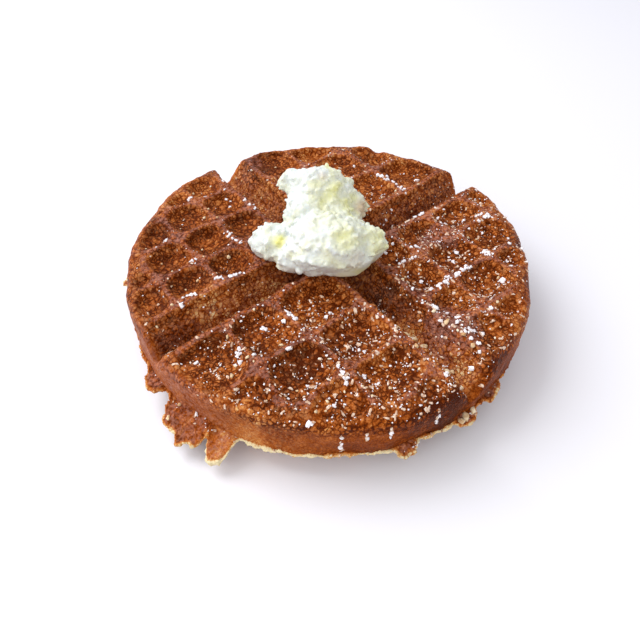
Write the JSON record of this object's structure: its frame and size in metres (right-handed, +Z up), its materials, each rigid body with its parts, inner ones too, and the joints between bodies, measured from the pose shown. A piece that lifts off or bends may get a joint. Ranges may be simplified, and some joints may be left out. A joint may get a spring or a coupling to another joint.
{
  "type": "waffle with butter",
  "caption": "Round deep-pocket waffle quartered by crossing grooves, sugar-dusted, topped with a scoop of whipped butter.",
  "frame": {"origin": "middle of the part's box, on the plane the lower ribs rest on", "axes": "+Z up out of the waffle's upper face, X and Y along the two grooves that quarter it"},
  "size_m": [0.1808, 0.18, 0.0622],
  "materials": {
    "waffle_crust": "matt, baked",
    "whipped_butter": "satin, soft"
  },
  "bodies": {
    "root": {"waffle": "waffle_crust", "butter": "whipped_butter"}
  },
  "joints": []
}
